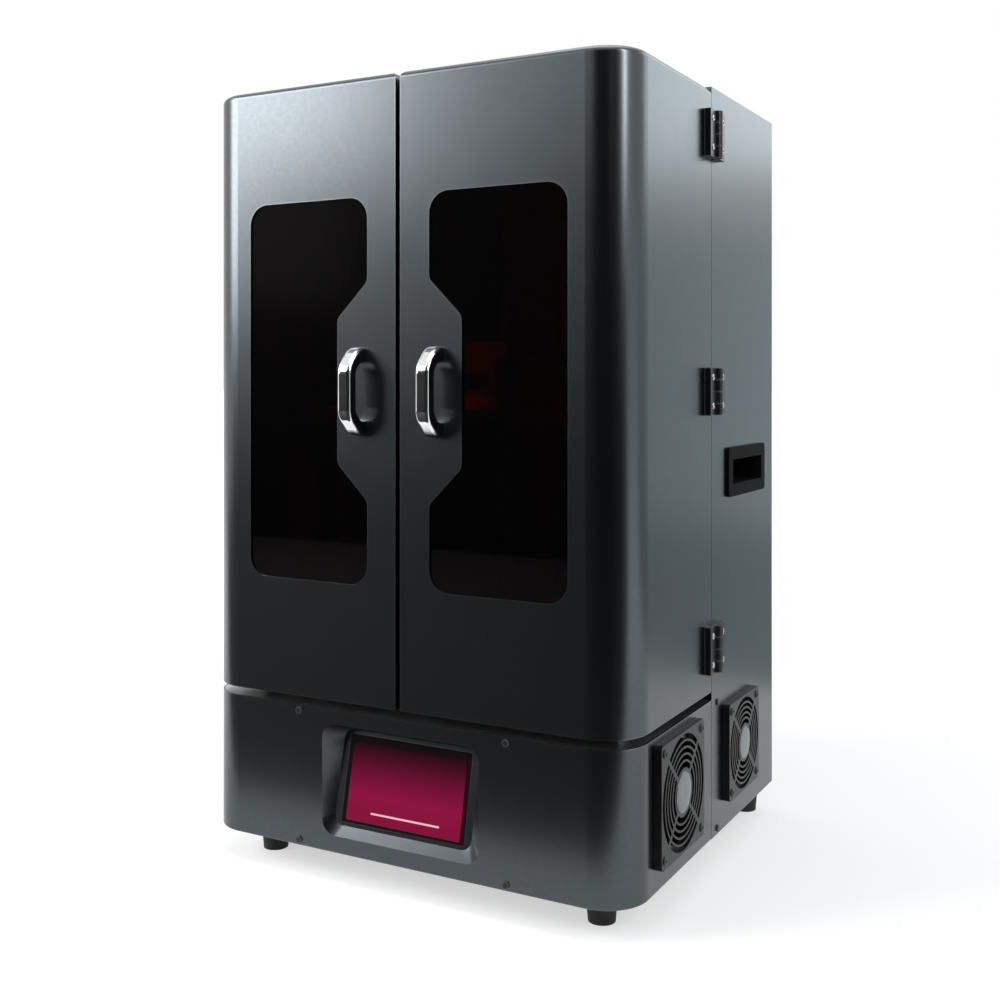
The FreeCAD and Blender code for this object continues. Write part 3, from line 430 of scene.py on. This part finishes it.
def hinge_screws():
    """Two bright screws on every hinge leaf."""
    radius = 2.6 * MM
    height = 0.7 * MM
    from_pin = 11.2 * MM
    for side, sign in SIDES:
        low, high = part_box(f"{side}_hinge_door_leaves")
        pitch = (high.z - low.z - HINGE_LENGTH) / (HINGE_ROWS - 1)
        face = sign * (HALF_WIDTH + HINGE_THICKNESS)
        pin = high.y - KNUCKLE_RADIUS
        for body, away in ((f"{side}_door", -1), ("cabinet", 1)):
            def heads(shape):
                for row in range(HINGE_ROWS):
                    for share in (0.2, 0.8):
                        z = low.z + pitch * row + HINGE_LENGTH * share
                        place = (face, pin + away * from_pin, z)
                        screw_head(shape, radius, height, facing((sign, 0, 0), place))
            piece(f"{side}_{body}_hinge_screws", heads, FINISHES["steel"], body)


def fan_guards():
    """Gives each guard's side and end as a name, the way it faces, its box and its outer face's X."""
    for side, sign in SIDES:
        for end in ("front", "rear"):
            low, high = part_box(f"{side}_{end}_fan_guard")
            face = high.x if sign > 0 else low.x
            yield f"{side}_{end}", (sign, 0, 0), low, high, face


def guard_screws():
    """A screw in each corner of every fan guard."""
    radius = 3.2 * MM
    height = 1.2 * MM
    inset = 6.5 * MM
    for name, outward, low, high, face in fan_guards():
        def heads(shape):
            for y in (low.y + inset, high.y - inset):
                for z in (low.z + inset, high.z - inset):
                    screw_head(shape, radius, height, facing(outward, (face, y, z)))
        piece(f"{name}_guard_screws", heads, FINISHES["screw_black"], "cabinet")


def guard_caps():
    """A satin cap on the middle of every fan guard, domed a little at its rim."""
    width_share = 0.17
    rings = ((1.0, 0.0), (1.0, 0.25), (0.93, 0.4), (0.4, 0.45))
    sides = 48
    for name, outward, low, high, face in fan_guards():
        middle = (low + high) / 2
        radius = (high.y - low.y) * width_share
        seat = facing(outward, (face, middle.y, middle.z))

        def cap(shape):
            lathe(shape, [(radius * reach, rise * MM) for reach, rise in rings], sides, seat)
        piece(f"{name}_guard_cap", cap, FINISHES["painted_steel"], "cabinet")


def retainer_screws():
    """Screws round the inner side of each window, on the middle of its retainer."""
    radius = 2.4 * MM
    height = 1.2 * MM
    middle_line = 3.5 * MM
    for side, sign in SIDES:
        low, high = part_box(f"{side}_window_retainer")
        inner, outer = sorted((low.x, high.x), key=abs)
        inner += sign * middle_line
        outer -= sign * middle_line
        bottom = low.z + middle_line
        top = high.z - middle_line
        seats = [(outer, bottom + (top - bottom) * share) for share in (0.1, 0.37, 0.63, 0.9)]
        seats += [(inner, bottom + (top - bottom) * share) for share in (0.1, 0.9)]
        seats += [((inner + outer) / 2, level) for level in (bottom, top)]

        def heads(shape):
            for x, z in seats:
                screw_head(shape, radius, height, facing((0, 1, 0), (x, high.y, z)))
        piece(f"{side}_retainer_screws", heads, FINISHES["screw_black"], f"{side}_door")


# The lead is the lift's travel for one turn of the screw
SCREW_LEAD = 8 * MM
SCREW_STARTS = 2
THREAD_DEPTH = 1 * MM
THREAD_STEP = 0.8 * MM


def thread_cut(share):
    """Depth of the cut at a share of the thread's pitch: none on the crest, all of it in the root."""
    flank_slope = 3
    crest_width = 0.25
    return THREAD_DEPTH * min(1, max(0, flank_slope * abs(share - 0.5) - crest_width))


def lead_screw():
    """The lead screw with its two-start thread cut in, standing for the plain CAD rod."""
    low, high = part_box("lead_screw")
    radius = (high.x - low.x) / 2
    middle = (low + high) / 2
    sides = 24
    rows = int((high.z - low.z) / THREAD_STEP)

    def thread(shape):
        loops = []
        for row in range(rows + 1):
            z = low.z + (high.z - low.z) * row / rows
            plain_end = row in (0, rows)
            loop = []
            for i in range(sides):
                angle = math.tau * i / sides
                share = ((z / SCREW_LEAD - i / sides) * SCREW_STARTS) % 1
                reach = radius - (THREAD_DEPTH if plain_end else thread_cut(share))
                x = middle.x + reach * math.cos(angle)
                y = middle.y + reach * math.sin(angle)
                loop.append(shape.verts.new((x, y, z)))
            loops.append(loop)
        skin(shape, loops, True)

    made = piece("threaded_lead_screw", thread, FINISHES["steel"], "z_screw")
    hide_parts("lead_screw")


def opening_box(name):
    """(lowest corner, highest corner) of a stated opening."""
    for opening in frame["record"]["physics"]["openings"]:
        if opening["name"] == name:
            return tuple(Vector(corner) for corner in opening["box_m"])


def blade(shape, middle, size):
    """A small bar with broken edges."""
    broken_share = 0.2
    place = Matrix.Translation(middle) @ Matrix.Diagonal((*size, 1))
    made = bmesh.ops.create_cube(shape, size=1, matrix=place)
    edges = dict.fromkeys(edge for vert in made["verts"] for edge in vert.link_edges)
    bmesh.ops.bevel(shape, geom=list(edges), offset=min(size) * broken_share, segments=2, affect="EDGES")


def inlet_pins(shape):
    """Three flat pins in a row, the middle one higher."""
    size = (2 * MM, 13 * MM, 4 * MM)
    pitch = 7 * MM
    low, high = opening_box("inlet_socket")
    middle = (low + high) / 2
    for step, lift in ((-1, 0), (0, 2 * MM), (1, 0)):
        blade(shape, (middle.x + step * pitch, low.y + size[1] / 2, middle.z + lift), size)


def data_contacts(shape):
    """The tongue of the USB socket and the contacts along the top of the network socket."""
    depth = 8 * MM
    low, high = opening_box("usb_socket")
    middle = (low + high) / 2
    blade(shape, (middle.x, low.y + depth / 2, middle.z), (5.6 * MM, depth, 3.2 * MM))
    low, high = opening_box("network_socket")
    contacts = 8
    pitch = (high.x - low.x) / (contacts + 2)
    size = (pitch / 2, depth, 0.5 * MM)
    below_top = 1.25 * MM
    for i in range(contacts):
        x = low.x + pitch * (i + 1.5)
        blade(shape, (x, low.y + depth / 2, high.z - below_top), size)


def socket_contacts():
    """Pins in the power inlet and contacts in the two data sockets."""
    piece("inlet_pins", inlet_pins, FINISHES["brass"], "cabinet")
    piece("data_contacts", data_contacts, FINISHES["brass"], "cabinet")


hinge_screws()
guard_screws()
guard_caps()
retainer_screws()
lead_screw()
socket_contacts()


# The screen's picture: a dark red field with a progress bar

# How far the glass leans back, and its thickness
SCREEN_LEAN = math.radians(12)
SCREEN_THICKNESS = 6 * MM
# The lit field: its share of the glass's width, its height, and how far its middle is below the glass's
FIELD_SHARE = 0.93
FIELD_HEIGHT = 57 * MM
FIELD_DROP = 2 * MM
FIELD_THICKNESS = 0.25 * MM
FIELD_ROUND = 1.5 * MM
# Colours up the field, by share of its height
FIELD_COLOURS = (
    (0.0, (0.2, 0.003, 0.035, 1)),
    (0.35, (0.235, 0.004, 0.042, 1)),
    (0.62, (0.13, 0.002, 0.026, 1)),
    (0.84, (0.04, 0.001, 0.009, 1)),
    (1.0, (0.004, 0.0, 0.001, 1)),
)
# The bar: its middle as shares of the field's width and height, and half of its length and height
BAR_MIDDLE = (0.02, -0.37)
BAR_HALF_SHARE = 0.3
BAR_HALF_HEIGHT = 0.7 * MM
BAR_COLOUR = (0.9, 0.5, 0.58)


def screen_picture():
    """A thin lit panel on the front of the leaning glass."""
    low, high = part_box("touch_screen")
    lean_sine = math.sin(SCREEN_LEAN)
    lean_cosine = math.cos(SCREEN_LEAN)
    half_glass = (high.z - low.z - SCREEN_THICKNESS * lean_sine) / lean_cosine / 2
    back = low.y + lean_sine * (half_glass - FIELD_DROP)
    level = high.z - lean_cosine * (half_glass + FIELD_DROP)
    seat = Matrix.Translation((0, back, level)) @ Matrix.Rotation(math.pi / 2 - SCREEN_LEAN, 4, "X")
    wide = (high.x - low.x) * FIELD_SHARE
    bevel = FIELD_THICKNESS / 2

    def panel(shape):
        loops = []
        for inset, rise in ((0, 0), (0, FIELD_THICKNESS - bevel), (bevel, FIELD_THICKNESS)):
            outline = rounded_outline(wide - 2 * inset, FIELD_HEIGHT - 2 * inset, FIELD_ROUND)
            loops.append([shape.verts.new((x, y, rise)) for x, y in outline])
        skin(shape, loops, False)

    piece("screen_picture", panel, screen_light(wide, FIELD_HEIGHT), "cabinet", seat)


def rounded_outline(wide, tall, radius):
    """Points round a rectangle with rounded corners, middle at the origin."""
    steps = 6
    points = []
    for quarter, (across, up) in enumerate(((1, 1), (-1, 1), (-1, -1), (1, -1))):
        for step in range(steps + 1):
            angle = math.pi / 2 * (quarter + step / steps)
            x = across * (wide / 2 - radius) + radius * math.cos(angle)
            y = up * (tall / 2 - radius) + radius * math.sin(angle)
            points.append((x, y))
    return points


def screen_light(wide, tall):
    """A deep red field, dark along its top, with a thin progress bar."""
    finish = Finish("screen_light", (0.02, 0.002, 0.005), 0.14, Specular_IOR_Level=0.3)
    split = finish.add("ShaderNodeSeparateXYZ")
    finish.link(finish.place, split.inputs["Vector"])
    rise = finish.add("ShaderNodeMapRange")
    rise.inputs["From Min"].default_value = -tall / 2
    rise.inputs["From Max"].default_value = tall / 2
    finish.link(split.outputs["Y"], rise.inputs["Value"])
    field = finish.add("ShaderNodeValToRGB")
    stops = field.color_ramp.elements
    first, *inner, last = FIELD_COLOURS
    stops[0].color = first[1]
    stops[1].color = last[1]
    for position, colour in inner:
        stops.new(position).color = colour
    finish.link(rise.outputs["Result"], field.inputs["Fac"])
    along = band(finish, split.outputs["X"], wide * BAR_MIDDLE[0], wide * BAR_HALF_SHARE)
    across = band(finish, split.outputs["Y"], tall * BAR_MIDDLE[1], BAR_HALF_HEIGHT)
    bar = finish.add("ShaderNodeMath", operation="MULTIPLY")
    finish.link(along, bar.inputs[0])
    finish.link(across, bar.inputs[1])
    lit = finish.blend(field.outputs["Color"], BAR_COLOUR, bar.outputs["Value"])
    finish.link(lit, finish.shader.inputs["Emission Color"])
    finish.shader.inputs["Emission Strength"].default_value = 1
    return finish.material


def band(finish, value, centre, half_width):
    """1 within half_width of a centre, 0 outside."""
    node = finish.add("ShaderNodeMath", operation="COMPARE")
    node.inputs[1].default_value = centre
    node.inputs[2].default_value = half_width
    finish.link(value, node.inputs[0])
    return node.outputs["Value"]


screen_picture()


# Floor, light and camera

def seen_directly(tree):
    """1 for camera, glossy and transmission rays, 0 for the rays that light the scene."""
    path = tree.nodes.new("ShaderNodeLightPath")
    seen = path.outputs["Is Camera Ray"]
    for name in ("Is Glossy Ray", "Is Transmission Ray"):
        node = tree.nodes.new("ShaderNodeMath")
        node.operation = "MAXIMUM"
        tree.links.new(seen, node.inputs[0])
        tree.links.new(path.outputs[name], node.inputs[1])
        seen = node.outputs["Value"]
    return seen


def world():
    """Soft cool light, seen as plain white."""
    made = bpy.data.worlds.new("studio")
    bpy.context.scene.world = made
    made.use_nodes = True
    tree = made.node_tree
    soft = tree.nodes["Background"]
    soft.inputs["Color"].default_value = (0.92, 0.96, 1, 1)
    soft.inputs["Strength"].default_value = 0.35
    white = tree.nodes.new("ShaderNodeBackground")
    white.inputs["Color"].default_value = (1, 1, 1, 1)
    mix = tree.nodes.new("ShaderNodeMixShader")
    tree.links.new(seen_directly(tree), mix.inputs["Fac"])
    tree.links.new(soft.outputs["Background"], mix.inputs[1])
    tree.links.new(white.outputs["Background"], mix.inputs[2])
    tree.links.new(mix.outputs["Shader"], tree.nodes["World Output"].inputs["Surface"])


# The floor's own light near the object and far from it, and the distances from the middle where each holds
FLOOR_GLOW = (0.55, 1.0)
FLOOR_FADE = (0.35, 1.6)


def floor():
    """A pale floor that keeps the shadow near the object and fades to white away from it."""
    finish = Finish("floor", (0.5, 0.5, 0.5), 0.9)
    finish.mottle(3, 0.01)
    reach = finish.add("ShaderNodeVectorMath", operation="LENGTH")
    finish.link(finish.place, reach.inputs[0])
    glow = finish.add("ShaderNodeMapRange")
    glow.interpolation_type = "SMOOTHSTEP"
    glow.inputs["From Min"].default_value = FLOOR_FADE[0]
    glow.inputs["From Max"].default_value = FLOOR_FADE[1]
    glow.inputs["To Min"].default_value = FLOOR_GLOW[0]
    glow.inputs["To Max"].default_value = FLOOR_GLOW[1]
    finish.link(reach.outputs["Value"], glow.inputs["Value"])
    strength = finish.add("ShaderNodeMath", operation="MULTIPLY")
    finish.link(glow.outputs["Result"], strength.inputs[0])
    finish.link(seen_directly(finish.tree), strength.inputs[1])
    finish.shader.inputs["Emission Color"].default_value = (1, 1, 1, 1)
    finish.link(strength.outputs["Value"], finish.shader.inputs["Emission Strength"])
    bpy.ops.mesh.primitive_plane_add(size=60, location=(0, 0, 0))
    made = bpy.context.object
    made.name = "floor"
    made.data.materials.append(finish.material)


# The light on the right side is a little cooler than the rest
COOL = (0.87, 1.0, 1.05)
WHITE = (1, 1, 1)


def softbox(name, place, target, wide, tall, power, colour=WHITE):
    """An area light aimed at a target."""
    light = bpy.data.lights.new(name, "AREA")
    light.color = colour
    light.shape = "RECTANGLE"
    light.size = wide
    light.size_y = tall
    light.energy = power
    made = bpy.data.objects.new(name, light)
    bpy.context.scene.collection.objects.link(made)
    made.location = place
    made.rotation_euler = (Vector(target) - Vector(place)).to_track_quat("-Z", "Y").to_euler()


def lights():
    """A key light high on the left, a strip on the right, a fill behind and one overhead."""
    softbox("upper_left", (-1.65, -1.45, 1.25), (0, -0.1, 0.45), 1.25, 1.4, 63)
    softbox("right_strip", (1.9, -0.6, 1.45), (0.15, 0, 0.45), 0.2, 1.2, 18)
    softbox("rear_right", (1.3, 2.2, 1.55), (0.1, 0, 0.45), 1.8, 1.2, 13, COOL)
    softbox("overhead", (0, 0, 2.4), (0, 0, 0.3), 1.6, 1.6, 14)


def card(name, place, turn, wide, tall, glow):
    """A flat card that only shows in reflections, as a studio uses to shape a glossy finish."""
    finish = Finish(name, (0.004, 0.004, 0.004), 0.9)
    finish.mottle(8, 0.2)
    finish.shader.inputs["Emission Color"].default_value = (*COOL, 1)
    finish.shader.inputs["Emission Strength"].default_value = glow
    bpy.ops.mesh.primitive_plane_add(size=1, location=place, rotation=turn)
    made = bpy.context.object
    made.name = name
    made.scale = (wide, tall, 1)
    made.visible_camera = False
    made.visible_shadow = False
    made.visible_diffuse = False
    made.data.materials.append(finish.material)


def cards():
    """Black ones round the lens and on the floor before it, glowing ones at the rear right."""
    upright = math.pi / 2
    lying = 1 * MM
    card("front_card", (-0.3, -1.75, 0.45), (upright, 0, 0), 5.2, 0.9, 0)
    card("lens_card", (0.8, -1.76, 0.9), (upright, 0, 0), 1.4, 1.8, 0)
    card("right_card", (2.0, -1.15, 1.3), (upright, 0, 0.98), 1.46, 2.6, 0)
    card("front_floor_card", (-0.3, -1.02, lying), (0, 0, 0), 5.2, 1.46, 0)
    card("rear_card", (1.6, 1.9, 0.4), (upright, 0, -0.6), 3.0, 0.8, 0.75)
    card("side_floor_card", (1.3, 1.5, lying), (0, 0, 0), 2.2, 1.8, 0.38)


# Camera found by fitting the cabinet's edges in the photograph
CAMERA_PLACE = (0.5105, -0.9275, 0.3861)
CAMERA_YAW = math.radians(28.77)
FOCAL_PIXELS = 1250.7
CENTRE_PIXELS = (498.7, 377.3)
IMAGE_PIXELS = 1000


def camera():
    """A level camera, shifted to frame the printer as the photograph does."""
    lens = bpy.data.cameras.new("camera")
    lens.sensor_width = 36
    lens.lens = FOCAL_PIXELS / IMAGE_PIXELS * lens.sensor_width
    lens.shift_x = 0.5 - CENTRE_PIXELS[0] / IMAGE_PIXELS
    lens.shift_y = CENTRE_PIXELS[1] / IMAGE_PIXELS - 0.5
    made = bpy.data.objects.new("camera", lens)
    bpy.context.scene.collection.objects.link(made)
    made.location = CAMERA_PLACE
    made.rotation_euler = (math.pi / 2, 0, CAMERA_YAW)
    bpy.context.scene.camera = made


world()
floor()
lights()
cards()
camera()
bpy.context.scene.view_settings.view_transform = "Standard"
